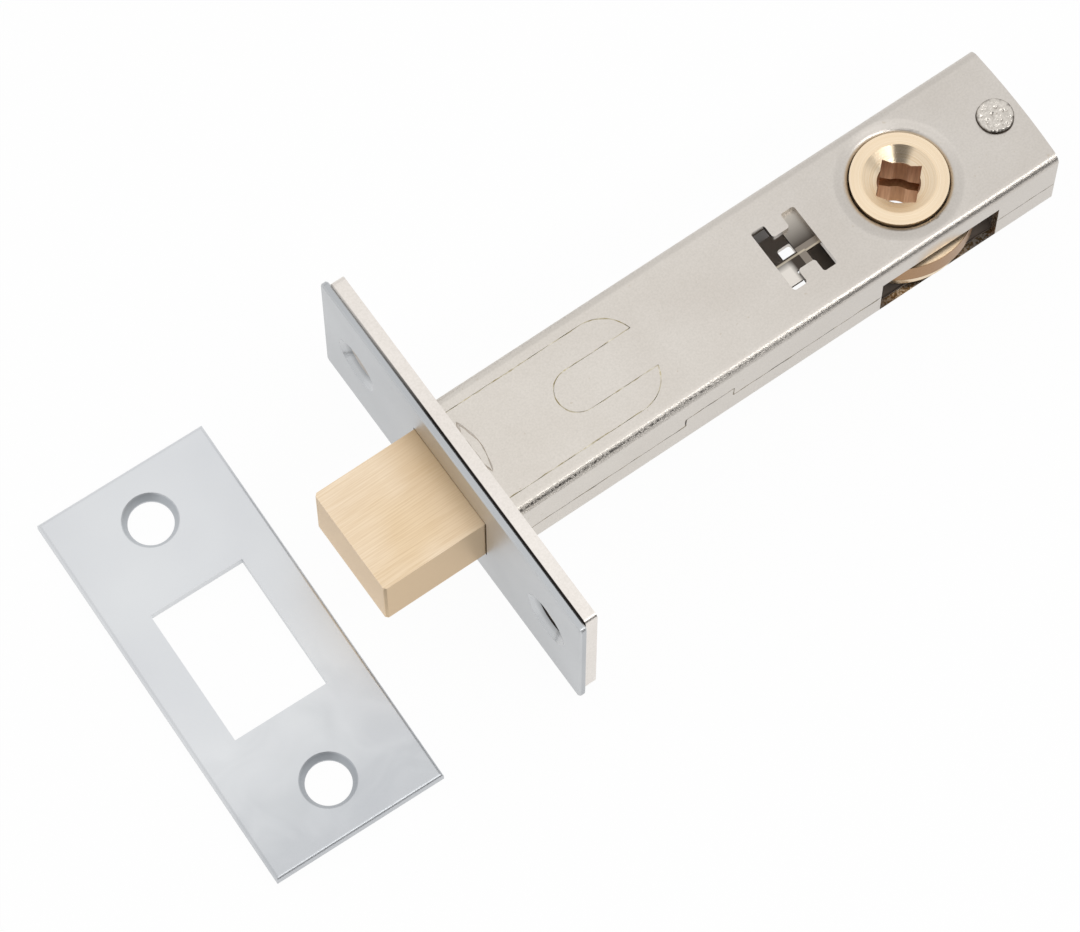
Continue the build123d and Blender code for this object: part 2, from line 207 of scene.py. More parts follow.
def painted_fold_reflection(material, axes):
    """A painted dark reflection in flakes along the near fold, thick near the forend, sparse at the rear.

    It lies in a band on the bend, from 0.2 to 0.62 mm below the flat, on the near side only.
    """
    where = add(material, "ShaderNodeTexCoord").outputs["Object"]
    flakes = add(material, "ShaderNodeTexNoise", {
        "Vector": where, "Scale": per_metre(0.4), "Detail": 4.0, "Roughness": 0.8,
    })
    along = add(material, "ShaderNodeMapRange", {
        "Value": axes.outputs["X"], 1: -0.06, 2: -0.004, 3: -0.12, 4: 0.07,
    })
    sunk = add(material, "ShaderNodeMath", {0: case_top, 1: axes.outputs["Z"]}, operation="SUBTRACT")
    lower = add(material, "ShaderNodeMapRange", {"Value": sunk, 1: 0.00062, 2: 0.00045})
    upper = add(material, "ShaderNodeMapRange", {"Value": sunk, 1: 0.0002, 2: 0.00032})
    out = add(material, "ShaderNodeMath", {
        0: axes.outputs["Y"], 1: case_side - 0.0007,
    }, operation="GREATER_THAN")
    band = add(material, "ShaderNodeMath", {0: lower, 1: upper}, operation="MULTIPLY")
    band = add(material, "ShaderNodeMath", {0: band, 1: out}, operation="MULTIPLY")
    dense = add(material, "ShaderNodeMath", {0: flakes, 1: along}, operation="ADD")
    broken = add(material, "ShaderNodeMapRange", {"Value": dense, 1: 0.46, 2: 0.56, 4: 0.9})
    return add(material, "ShaderNodeMath", {0: band, 1: broken}, operation="MULTIPLY")


def painted_inner_shade(material, axes):
    """1 on the inner faces of the case, which a dull film of painted shade covers."""
    side = add(material, "ShaderNodeMath", {0: axes.outputs["Y"]}, operation="ABSOLUTE")
    level = add(material, "ShaderNodeMath", {0: axes.outputs["Z"]}, operation="ABSOLUTE")
    within = add(material, "ShaderNodeMath", {0: side, 1: inner_side + margin}, operation="LESS_THAN")
    between = add(material, "ShaderNodeMath", {0: level, 1: inner_top + margin}, operation="LESS_THAN")
    return add(material, "ShaderNodeMath", {0: within, 1: between}, operation="MULTIPLY")


def window_edges(material, axes):
    """Blotches of rust on the sides' raw edges, which were cut in the windows and at the rear."""
    side = add(material, "ShaderNodeMath", {0: axes.outputs["Y"]}, operation="ABSOLUTE")
    level = add(material, "ShaderNodeMath", {0: axes.outputs["Z"]}, operation="ABSOLUTE")
    within = add(material, "ShaderNodeMath", {0: side, 1: case_side - 0.00006}, operation="LESS_THAN")
    beyond = add(material, "ShaderNodeMath", {0: side, 1: inner_side + margin}, operation="GREATER_THAN")
    between = add(material, "ShaderNodeMath", {0: level, 1: inner_top + margin}, operation="LESS_THAN")
    edge = add(material, "ShaderNodeMath", {0: within, 1: beyond}, operation="MULTIPLY")
    edge = add(material, "ShaderNodeMath", {0: edge, 1: between}, operation="MULTIPLY")
    where = add(material, "ShaderNodeTexCoord").outputs["Object"]
    blotches = add(material, "ShaderNodeTexNoise", {"Vector": where, "Scale": per_metre(0.35), "Detail": 2.0})
    rust = add(material, "ShaderNodeMapRange", {"Value": blotches, 1: 0.44, 2: 0.54, 3: 0.1, 4: 1.0})
    return add(material, "ShaderNodeMath", {0: edge, 1: rust}, operation="MULTIPLY")


# The dark flakes on the near fold, #3B3734, are a painted reflection.
# The dull film on the inner faces is painted shade.
drawn_nickel = nickel_plate("dull nickel on drawn sheet", "#E5DFD7", "#DBD5CE", 6e-6, 3e-4, (
    ("#3B3734", painted_fold_reflection), ("#8F7A5E", window_edges),
), painted_inner_shade)
for shell in ("lower_case_shell", "upper_case_shell"):
    finish_node(shell, drawn_nickel)


# Seam and joint lines
# Old lacquer and dirt stand in the thin joints: yellowed round the inlaid arms of the forend, with
# painted glints and shade in its pale and dark stretches, and brown along the stepped seam of the case.
# A staking punch has raised a crescent behind the forend.
def capped_faces(rows, turns):
    """The faces of a grid of rings, with a fan at each end about the two points that follow it."""
    number = np.arange(rows * turns).reshape(rows, turns)
    beside = np.roll(number, -1, axis=1)
    walls = np.stack([number[:-1], number[1:], beside[1:], beside[:-1]], axis=-1).reshape(-1, 4)
    first = np.stack([np.full(turns, number.size), number[0], beside[0]], axis=-1)
    last = np.stack([np.full(turns, number.size + 1), beside[-1], number[-1]], axis=-1)
    return walls.tolist() + first.tolist() + last.tolist()


def new_piece(name, points, faces, material, body, sharp_angle=None):
    """A piece that rides on a body. With a sharp angle it is smooth but for sharper edges."""
    mesh = bpy.data.meshes.new(name)
    mesh.from_pydata(points, [], faces)
    mesh.materials.append(material)
    if sharp_angle:
        mesh.shade_smooth()
        mesh.set_sharp_from_angle(angle=math.radians(sharp_angle))
    piece = bpy.data.objects.new(name, mesh)
    scene.collection.objects.link(piece)
    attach(piece, body)
    return piece


def bead(name, path, width, height, seed, place, material):
    """An uneven bead along a path, as one closed surface.

    Its section is a diamond, half of it sunk in the surface. Its width grows and shrinks with a sum
    of three sines of the length, and it tapers to a point at both ends. Place is an origin, the two
    directions of the path's plane and the surface's outward normal.
    """
    steps = np.hypot(*np.diff(path, axis=0).T)
    run = np.concatenate([[0], np.cumsum(steps)])
    length = np.arange(0, run[-1], 0.00014)
    middle = np.stack([np.interp(length, run, path[:, 0]), np.interp(length, run, path[:, 1])], axis=-1)
    ahead = np.gradient(middle, axis=0)
    ahead /= np.linalg.norm(ahead, axis=1, keepdims=True)
    across = np.stack([-ahead[:, 1], ahead[:, 0]], axis=-1)
    waves = np.sin(length / 0.0011 + seed) + np.sin(length / 0.00037 + 2 * seed)
    waves += np.sin(length / 0.0026 + 3 * seed)
    taper = np.clip(np.minimum(length, length[-1] - length) / 0.0005, 0.1, 1)
    half = width / 2 * np.clip(0.68 + 0.25 * waves, 0.35, 1.4) * taper
    middle = middle + across * (width * 0.15 * np.sin(length / 0.0007 + 5 * seed))[:, None]
    origin, first, second, outward = [np.array(vector, float) for vector in place]
    sides = np.array([-1, 0, 1, 0])[None, :, None]
    rises = np.array([0, 1, 0, -1])[None, :, None] * height
    flat = middle[:, None, :] + sides * half[:, None, None] * across[:, None, :]
    rings = origin + flat[..., :1] * first + flat[..., 1:] * second + rises * outward
    ends = [origin + middle[end, 0] * first + middle[end, 1] * second for end in (0, -1)]
    faces = capped_faces(*rings.shape[:2])
    if np.dot(np.cross(first, second), outward) < 0:
        faces = [face[::-1] for face in faces]
    new_piece(name, np.vstack([rings.reshape(-1, 3), ends]), faces, material, "case")


def old_lacquer(name, low, middle, high):
    """Lacquer gone yellow or brown, a dull uneven film that changes every millimetre or two."""
    lacquer = new_finish(name)
    where = add(lacquer, "ShaderNodeTexCoord").outputs["Object"]
    film = add(lacquer, "ShaderNodeTexNoise", {"Vector": where, "Scale": per_metre(1.6), "Detail": 3.0})
    colour = add(lacquer, "ShaderNodeValToRGB", {"Fac": film}, [(0.36, low), (0.64, high), (0.5, middle)])
    surface = add(lacquer, "ShaderNodeBsdfPrincipled", {"Base Color": colour, "Roughness": 0.5})
    add(lacquer, "ShaderNodeOutputMaterial", {"Surface": surface})
    return lacquer


forend_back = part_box("forend_plate")[0][0]
arm_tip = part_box("upper_forend_arm")[0][0]
arm_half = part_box("upper_forend_arm")[1][1]
slot_half = 0.0031
slot_length = 0.0133
slot_end = arm_tip + slot_length - slot_half
horn_length = 0.005
horn_start = arm_tip + horn_length
horn_radius = 0.005155
horn_end = math.pi - math.asin((slot_half - arm_half + horn_radius) / horn_radius)
turn = np.linspace(math.pi / 2, horn_end, 24)
horn_x = horn_start + horn_radius * np.cos(turn)
horn_y = arm_half - horn_radius + horn_radius * np.sin(turn)
horn = np.stack([horn_x, horn_y], axis=-1)
turn = np.linspace(math.pi / 2, -math.pi / 2, 32)
slot_round = np.stack([slot_end + slot_half * np.cos(turn), slot_half * np.sin(turn)], axis=-1)
inlay = np.vstack([
    [(forend_back, arm_half)], horn, slot_round, horn[::-1] * (1, -1), [(forend_back, -arm_half)],
])
# The yellow bead's pale and dark stretches are painted glints and painted shade of the groove.
lacquer_with_glints = old_lacquer("yellowed lacquer with painted glints", "#9C8D62", "#D0C4A0", "#F0E9D6")
for name, up, seed in (("upper_inlay_line", 1, 1.0), ("lower_inlay_line", -1, 2.3)):
    place = ((0, 0, up * case_top), (1, 0, 0), (0, 1, 0), (0, 0, up))
    bead(name, inlay, 0.00015, 0.000012, seed, place, lacquer_with_glints)

seam_low, seam_high = -0.00125, 0.00085
step_front, step_rear = -0.02985, -0.03735
window_front, window_rear = -0.0607, -0.0793
seam_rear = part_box("lower_case_shell")[0][0] + 0.0005
seam_runs = (
    ("front", np.array([
        (forend_back, seam_low), (step_front, seam_low), (step_front, seam_high),
        (step_rear, seam_high), (step_rear, seam_low), (window_front, seam_low),
    ])),
    ("rear", np.array([(window_rear, seam_low), (seam_rear, seam_low)])),
)
brown_lacquer = old_lacquer("brown lacquer", "#332B23", "#62543F", "#A89878")
for name, out, seed in (("near_seam_line", 1, 3.1), ("far_seam_line", -1, 4.7)):
    place = ((0, out * case_side, 0), (1, 0, 0), (0, 0, 1), (0, out, 0))
    for part, run in seam_runs:
        bead(f"{name}_{part}", run, 0.0003, 0.000015, seed, place, brown_lacquer)

# The crescent is a front and a back ridge, each a parabola that bows away from the chord.
chord_place, chord_middle, chord_half = -0.00455, -0.0011, 0.0041
back_bow, front_bow = -0.0009, 0.0004
swing = np.linspace(-1, 1, 40)
ridge_y = chord_middle + chord_half * swing
back_ridge = np.stack([chord_place + back_bow * (1 - swing ** 2), ridge_y], axis=-1)
front_ridge = np.stack([chord_place + front_bow * (1 - swing ** 2), ridge_y], axis=-1)
burr_nickel = nickel_plate("nickel on a raised burr", "#E3DED8", "#E3DED8", 9e-6, 0.0)
place = ((0, 0, case_top), (1, 0, 0), (0, 1, 0), (0, 0, 1))
bead("staked_crescent_back", back_ridge, 0.00026, 0.00012, 0.4, place, burr_nickel)
bead("staked_crescent_front", front_ridge, 0.00045, 0.00016, 2.9, place, burr_nickel)


# Hub
# Two turned brass halves riveted into one. The lathe leaves fine rings, so the brass throws a bright
# fan of light across them. The square way is broached, and its brown is painted shade. The upper rim is
# a darker brown.
hub_low, hub_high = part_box("upper_hub_half")
hub_rim = (hub_high[1] - hub_low[1]) / 2
sink_radius = 0.0048
sink_slope = 0.69
# The solid's own mouth falls at a slope of 1, and the underside of the cone keeps just clear of it.
under_slope = 0.99
way_half = 0.0026
drill_radius = 0.00285


def countersink(name, turns, material):
    """The shallow cone of the countersink, fitted in the mouth of the upper half's way.

    On a grid of turn and step, the inner edge is the further of a square on its corner and the drill
    that led it. The surface runs down the cone to that edge, down the way, and back up under itself.
    """
    turn = np.linspace(0, 2 * np.pi, turns, endpoint=False)
    flat = np.maximum(np.abs(np.cos(turn - np.pi / 4)), np.abs(np.sin(turn - np.pi / 4)))
    edge = np.maximum(way_half / flat, drill_radius)
    steps = np.linspace(0, 1, 12)[:, None]
    cone_radius = sink_radius + steps * (edge - sink_radius)
    cone_height = hub_high[2] - (sink_radius - cone_radius) * sink_slope
    back_height = hub_high[2] - (sink_radius - cone_radius[::-1]) * under_slope
    radius = np.vstack([cone_radius, cone_radius[::-1][:-1]])
    height = np.vstack([cone_height, back_height[:-1]])
    x = hub_axis[0] + radius * np.cos(turn)
    y = hub_axis[1] + radius * np.sin(turn)
    number = np.arange(radius.size).reshape(radius.shape)
    below, beside = np.roll(number, -1, axis=0), np.roll(number, -1, axis=1)
    faces = np.stack([number, beside, np.roll(below, -1, axis=1), below], axis=-1).reshape(-1, 4)
    points = np.stack([x, y, height], axis=-1).reshape(-1, 3)
    new_piece(name, points, faces.tolist(), material, "hub", sharp_angle=25)


def turned_brass():
    """Brass off the lathe, pale and bright, with rings about the hub's axis."""
    brass = new_finish("turned brass")
    where = add(brass, "ShaderNodeTexCoord").outputs["Object"]
    centred = add(brass, "ShaderNodeVectorMath", {0: where, 1: hub_axis}, operation="SUBTRACT")
    axes = add(brass, "ShaderNodeSeparateXYZ", {"Vector": centred})
    outwards = add(brass, "ShaderNodeVectorMath", {0: centred, 1: (1, 1, 0)}, operation="MULTIPLY")
    radius = add(brass, "ShaderNodeVectorMath", {0: outwards}, operation="LENGTH")
    depth = axes.outputs["Z"]
    # Tool marks are really 0.05 mm apart. They are drawn 0.2 mm apart, because finer doesn't show.
    mark = add(brass, "ShaderNodeCombineXYZ", {"X": radius, "Y": depth})
    rings = add(brass, "ShaderNodeTexNoise", {
        "Vector": mark, "Scale": per_metre(0.2), "Detail": 3.0, "Roughness": 0.6,
    })
    colour = add(brass, "ShaderNodeValToRGB", {"Fac": rings}, [(0.3, "#EFD5B2"), (0.7, "#FAE9CF")])
    # All that lies under the countersink's cone inside is the broached way.
    lowered = add(brass, "ShaderNodeMath", {0: radius, 1: -sink_slope, 2: depth}, operation="MULTIPLY_ADD")
    cone = hub_high[2] - sink_slope * sink_radius
    broached = add(brass, "ShaderNodeMapRange", {"Value": lowered, 1: cone - 0.00006, 2: cone - 0.0002})
    inside = add(brass, "ShaderNodeMapRange", {"Value": radius, 1: 0.0042, 2: 0.0045, 3: 1.0, 4: 0.0})
    way = add(brass, "ShaderNodeMath", {0: broached, 1: inside}, operation="MULTIPLY")
    scores = add(brass, "ShaderNodeMapping", {"Vector": centred, "Scale": (1, 1, 0.05)})
    scored = add(brass, "ShaderNodeTexNoise", {"Vector": scores, "Scale": per_metre(0.3), "Detail": 3.0})
    # The way's brown is painted shade in the square hole, over its broaching scores.
    brown = add(brass, "ShaderNodeValToRGB", {"Fac": scored}, [(0.3, "#B5835A"), (0.7, "#D0A075")])
    colour = add(brass, "ShaderNodeMix", {0: way, 6: colour, 7: brown}, data_type="RGBA")
    # The upper half's rim is a darker brown.
    rim = add(brass, "ShaderNodeMapRange", {"Value": radius, 1: hub_rim - 0.0001, 2: hub_rim - 0.00003})
    upper = add(brass, "ShaderNodeMath", {0: depth, 1: hub_low[2]}, operation="GREATER_THAN")
    darker_rim = add(brass, "ShaderNodeMath", {0: rim, 1: upper}, operation="MULTIPLY")
    colour = add(brass, "ShaderNodeMix", {
        0: darker_rim, 6: colour, 7: paint("#A57D52"),
    }, data_type="RGBA")
    ridges = add(brass, "ShaderNodeBump", {"Strength": 0.7, "Distance": 6e-6, "Height": rings})
    dull = add(brass, "ShaderNodeMapRange", {"Value": way, 3: 0.26, 4: 0.5})
    surface = add(brass, "ShaderNodeBsdfPrincipled", {
        "Base Color": colour, "Metallic": 1.0, "Roughness": dull, "Anisotropic": 0.7,
        "Tangent": outwards, "Normal": ridges,
    })
    add(brass, "ShaderNodeOutputMaterial", {"Surface": surface})
    return brass


hub_brass = turned_brass()
for half in ("lower_hub_half", "upper_hub_half"):
    finish_node(half, hub_brass)
countersink("hub_countersink", 192, hub_brass)


# Small steel pieces inside
# The tail strip, its pins, the hub's rivets and the spacer are plain steel. Old oil has dulled all
# but the rivets to a warm grey, and little light reaches them in the case.
def oiled_steel(name, low, high, metal):
    """Plain steel under oil. Metal is the share of the steel that shows through it."""
    steel = new_finish(name)
    where = add(steel, "ShaderNodeTexCoord").outputs["Object"]
    film = add(steel, "ShaderNodeTexNoise", {"Vector": where, "Scale": per_metre(2.5), "Detail": 3.0})
    colour = add(steel, "ShaderNodeValToRGB", {"Fac": film}, [(0.3, low), (0.7, high)])
    grain = add(steel, "ShaderNodeTexNoise", {"Vector": where, "Scale": per_metre(0.3), "Detail": 3.0})
    skin = add(steel, "ShaderNodeBump", {"Strength": 0.7, "Distance": 6e-6, "Height": grain})
    surface = add(steel, "ShaderNodeBsdfPrincipled", {
        "Base Color": colour, "Metallic": metal, "Roughness": 0.42, "Normal": skin,
    })
    add(steel, "ShaderNodeOutputMaterial", {"Surface": surface})
    return steel


dull_steel = oiled_steel("steel dull with oil", "#90857B", "#A89C91", 0.3)
clean_steel = oiled_steel("oiled steel", "#8B857E", "#A19B93", 1.0)
for part in ("bolt_tail", "rear_spacer", "front_tail_pin", "rear_tail_pin", "drive_pin"):
    finish_node(part, dull_steel)
for part in ("hub_rivet_1", "hub_rivet_2"):
    finish_node(part, clean_steel)


# Friction spring
# A strip of spring steel that hooks into the window. Its plate is painted pale at its far edge and
# dark towards the bar, as painted light and shade, with a painted highlight where it steps up to the
# hook, which is painted bright. Its leaf is dark all over.
leaf_rear = -0.0535
hook_step = 0.00076


def spring_steel_with_painted_light():
    """Spring steel, with painted light and shade that the place on the strip sets."""
    steel = new_finish("spring steel with painted light")
    where = add(steel, "ShaderNodeTexCoord").outputs["Object"]
    axes = add(steel, "ShaderNodeSeparateXYZ", {"Vector": where})
    # Painted light and shade: the plate is pale at its far edge and dark towards the bar.
    inwards = add(steel, "ShaderNodeMapRange", {"Value": axes.outputs["Y"], 1: -0.0048, 2: -0.0002})
    lit_to_shaded = add(steel, "ShaderNodeValToRGB", {"Fac": inwards}, [
        (0.0, "#CFC8BE"), (1.0, "#4A433D"), (0.6, "#8E857B"),
    ])
    ahead = add(steel, "ShaderNodeMath", {0: axes.outputs["X"], 1: leaf_rear}, operation="GREATER_THAN")
    colour = add(steel, "ShaderNodeMix", {0: ahead, 6: lit_to_shaded, 7: paint("#4A433D")}, data_type="RGBA")
    # A painted highlight runs along the edge of the plate where it steps up to the hook.
    off_edge = add(steel, "ShaderNodeMath", {0: axes.outputs["Y"], 1: hook_step}, operation="SUBTRACT")
    near_edge = add(steel, "ShaderNodeMath", {0: off_edge}, operation="ABSOLUTE")
    painted_lighting = add(steel, "ShaderNodeMapRange", {"Value": near_edge, 1: 0.00016, 2: 0.0001, 4: 0.6})
    colour = add(steel, "ShaderNodeMix", {0: painted_lighting, 6: colour, 7: paint("#D9CDB6")}, data_type="RGBA")
    # The hook is painted bright, as painted light.
    on_hook = add(steel, "ShaderNodeMapRange", {"Value": axes.outputs["X"], 1: -0.0523, 2: -0.0515})
    along_hook = add(steel, "ShaderNodeMapRange", {"Value": axes.outputs["Y"], 1: 0.0006, 2: 0.0018})
    hook_light = add(steel, "ShaderNodeMath", {0: on_hook, 1: along_hook}, operation="MULTIPLY")
    colour = add(steel, "ShaderNodeMix", {
        0: hook_light, 6: colour, 7: paint("#E6E0D8"),
    }, data_type="RGBA")
    drawn = add(steel, "ShaderNodeMapping", {"Vector": where, "Scale": (1, 0.1, 1)})
    grain = add(steel, "ShaderNodeTexNoise", {"Vector": drawn, "Scale": per_metre(0.3), "Detail": 3.0})
    skin = add(steel, "ShaderNodeBump", {"Strength": 0.7, "Distance": 8e-6, "Height": grain})
    surface = add(steel, "ShaderNodeBsdfPrincipled", {
        "Base Color": colour, "Metallic": 1.0, "Roughness": 0.38, "Normal": skin,
    })
    add(steel, "ShaderNodeOutputMaterial", {"Surface": surface})
    return steel


finish_node("friction_spring", spring_steel_with_painted_light())


# Bolt head
# A length of drawn square brass, belt-brushed along the throw. The brushing is so fine that it reads
# as a satin skin with faint lines. Its sides and the part next to the face plate are painted darker, as painted
# shade.
bolt_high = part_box("bolt_head")[1]
bolt_half = 0.0078


def brushed_brass():
    """Brass brushed along the throw, with painted shade on its sides and next to the face plate."""
    brass = new_finish("brushed brass")
    where = add(brass, "ShaderNodeTexCoord").outputs["Object"]
    axes = add(brass, "ShaderNodeSeparateXYZ", {"Vector": where})
    patches = add(brass, "ShaderNodeTexNoise", {"Vector": where, "Scale": per_metre(14), "Detail": 2.0})
    colour = add(brass, "ShaderNodeValToRGB", {"Fac": patches}, [(0.38, "#F0D8B6"), (0.62, "#F7E3C8")])
    # Brushed lines are really 0.05 mm wide. They are drawn at 0.2 mm, because finer doesn't show.
    drawn = add(brass, "ShaderNodeMapping", {"Vector": where, "Scale": (0.025, 1, 1)})
    lines = add(brass, "ShaderNodeTexNoise", {
        "Vector": drawn, "Scale": per_metre(0.2), "Detail": 3.0, "Roughness": 0.6,
    })
    faint = add(brass, "ShaderNodeValToRGB", {"Fac": lines}, [(0.34, "#F3EEE6"), (0.6, "#FFFFFF")])
    colour = add(brass, "ShaderNodeMix", {
        0: 1.0, 6: colour, 7: faint,
    }, data_type="RGBA", blend_type="MULTIPLY")
    # Painted shade darkens the brass next to the face plate, most of all towards its far side.
    inner = add(brass, "ShaderNodeMapRange", {"Value": axes.outputs["X"], 1: 0.0, 2: 0.007, 3: 1.0, 4: 0.0})
    far = add(brass, "ShaderNodeMapRange", {
        "Value": axes.outputs["Y"], 1: -bolt_half, 2: bolt_half, 3: 0.75, 4: 0.45,
    })
    painted_lighting = add(brass, "ShaderNodeMath", {0: inner, 1: far}, operation="MULTIPLY")
    colour = add(brass, "ShaderNodeMix", {
        0: painted_lighting, 6: colour, 7: paint("#CFAE83"),
    }, data_type="RGBA")
    # The sides of the bar are painted darker than the end, as painted shade.
    level = add(brass, "ShaderNodeMath", {0: axes.outputs["Z"]}, operation="ABSOLUTE")
    upright = add(brass, "ShaderNodeMath", {0: level, 1: bolt_high[2] - 0.00008}, operation="LESS_THAN")
    end = add(brass, "ShaderNodeMath", {
        0: axes.outputs["X"], 1: bolt_high[0] - 0.00008,
    }, operation="GREATER_THAN")
    sides = add(brass, "ShaderNodeMix", {0: end, 6: paint("#D9BE98"), 7: paint("#F0D5B0")}, data_type="RGBA")
    colour = add(brass, "ShaderNodeMix", {
        0: upright, 6: colour, 7: sides,
    }, data_type="RGBA")
    brushed = add(brass, "ShaderNodeBump", {"Strength": 0.4, "Distance": 1.0e-6, "Height": lines})
    surface = add(brass, "ShaderNodeBsdfPrincipled", {
        "Base Color": colour, "Metallic": 1.0, "Roughness": 0.38, "Normal": brushed,
    })
    add(brass, "ShaderNodeOutputMaterial", {"Surface": surface})
    return brass


finish_node("bolt_head", brushed_brass())


# Forend
# The thick plate behind the face plate and its two arms, let in flush with the case, are nickel
# plated like it. The plate was blanked with a press, and its skin is a little coarser.
screws = [row for row in frame["record"]["mounts"] if row["name"] == "face_plate_screws"][0]
screw_place = screws["dims"]["spacing_x_mm"] / 2000
joint_place = -0.0012


def joint_dirt_and_shade(material, axes):
    """1 on the front of the plate's edges, where dirt and painted shade fill the joint to the face plate.

    It fades towards the far end.
    """
    front = add(material, "ShaderNodeMapRange", {
        "Value": axes.outputs["X"], 1: joint_place - 0.00007, 2: joint_place - 0.00002,
    })
    left = add(material, "ShaderNodeMapRange", {"Value": axes.outputs["Y"], 1: -0.026, 2: -0.006, 3: 0.2})
    return add(material, "ShaderNodeMath", {0: front, 1: left}, operation="MULTIPLY")


def from_screw(material, axes):
    """The distance from the axis of the nearer of the two screw holes."""
    side = add(material, "ShaderNodeMath", {0: axes.outputs["Y"]}, operation="ABSOLUTE")
    aside = add(material, "ShaderNodeMath", {0: side, 1: screw_place}, operation="SUBTRACT")
    across = add(material, "ShaderNodeCombineXYZ", {"X": aside, "Y": axes.outputs["Z"]})
    return add(material, "ShaderNodeVectorMath", {0: across}, operation="LENGTH")


def screw_bores(material, axes):
    """1 on the walls of the screw holes, which the plating bath hardly reached."""
    reach = from_screw(material, axes)
    return add(material, "ShaderNodeMath", {0: reach, 1: 0.0023}, operation="LESS_THAN")


# The dark joint at the plate's front, #2E2A27, is dirt and painted shade.
forend_nickel = nickel_plate("nickel on blanked steel", "#F6F0EA", "#E8E2DC", 1.2e-5, 0.0, (
    ("#2E2A27", joint_dirt_and_shade), ("#A8A196", screw_bores),
))
finish_node("forend_plate", forend_nickel)
arm_nickel = nickel_plate("nickel on the inlaid arms", "#E5DFD7", "#DBD5CE", 6e-6, 0.0)
for part in ("upper_forend_arm", "lower_forend_arm"):
    finish_node(part, arm_nickel)


# Rear rivet
# A nickel plated steel rivet that closes the back of the case. Its heads were spread with a hammer,
# which leaves them dented and a little out of round.
rivet_low, rivet_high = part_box("rear_rivet")
rivet_centre = (rivet_low + rivet_high) / 2
rivet_head_radius = (rivet_high[0] - rivet_low[0]) / 2
rivet_head_height = rivet_high[2] - case_top
rivet_shank_radius = 0.0016


def spread_head(turn, seed):
    """Radius and height of one hammered head, on a grid of steps outwards and turn.

    The radius grows to a circle that waves three and five times round. The height is level, then
    falls as a quarter ellipse to the case, and sinks by a sum of short waves that fades at the rim.
    """
    reach = np.linspace(0, 1, 60)[1:, None]
    fall = np.clip((reach - 0.7) / 0.3, 0, 1) * np.pi / 2
    round_about = 1 - 0.02 * np.sin(1.5 * turn + seed) ** 2 - 0.015 * np.sin(2.5 * turn + 2 * seed) ** 2
    rise = np.where(reach < 0.7, reach / 0.7 * 0.82, 0.82 + 0.18 * np.sin(fall))
    radius = rivet_head_radius * round_about * rise
    generator = np.random.default_rng(seed)
    dents = np.zeros_like(radius)
    for size in (0.0016, 0.0011, 0.0008, 0.0006, 0.00045, 0.00037):
        heading, phase, other_phase = generator.uniform(0, 2 * np.pi, 3)
        along = radius * np.cos(turn - heading) * 2 * np.pi / size
        across = radius * np.sin(turn - heading) * 2 * np.pi / size
        dents += size * 0.045 * np.sin(along + phase) * np.cos(across / 1.3 + other_phase)
    sunk = (dents.max() - dents) * np.cos(fall)
    return radius, rivet_head_height * np.cos(fall) - sunk


def hammered_rivet(name, turns, material):
    """Two spread heads on a straight shank, as one closed surface from pole to pole."""
    turn = np.linspace(0, 2 * np.pi, turns, endpoint=False)[None, :]
    upper_radius, upper_height = spread_head(turn, 4)
    lower_radius, lower_height = spread_head(turn, 9)
    shank = np.full((1, turns), rivet_shank_radius)
    radius = np.vstack([upper_radius, shank, shank, lower_radius[::-1]])
    height = np.vstack([
        upper_height + case_top, 0 * shank + case_top, 0 * shank - case_top, -lower_height[::-1] - case_top,
    ])
    x = rivet_centre[0] + radius * np.cos(turn)
    y = rivet_centre[1] + radius * np.sin(turn)
    rings = np.stack([x, y, height], axis=-1).reshape(-1, 3)
    poles = [(rivet_centre[0], rivet_centre[1], height[row].mean()) for row in (0, -1)]
    points = np.vstack([rings, poles])
    faces = capped_faces(*radius.shape)
    return new_piece(name, points, faces, material, "case", sharp_angle=40)


def shade_round_the_head(material, axes):
    """1 at the foot of the heads, where painted shade darkens them against the case."""
    level = add(material, "ShaderNodeMath", {0: axes.outputs["Z"]}, operation="ABSOLUTE")
    return add(material, "ShaderNodeMapRange", {"Value": level, 1: case_top + 0.00052, 2: case_top + 0.0003})


# The dark at the foot of the heads, #4B423A, is painted shade.
hammered_nickel = nickel_plate("hammered nickel", "#E6E0D8", "#E6E0D8", 5e-5, 0.0, (
    ("#4B423A", shade_round_the_head),
))
rivet = hammered_rivet("hammered_rear_rivet", 160, hammered_nickel)
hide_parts("rear_rivet")


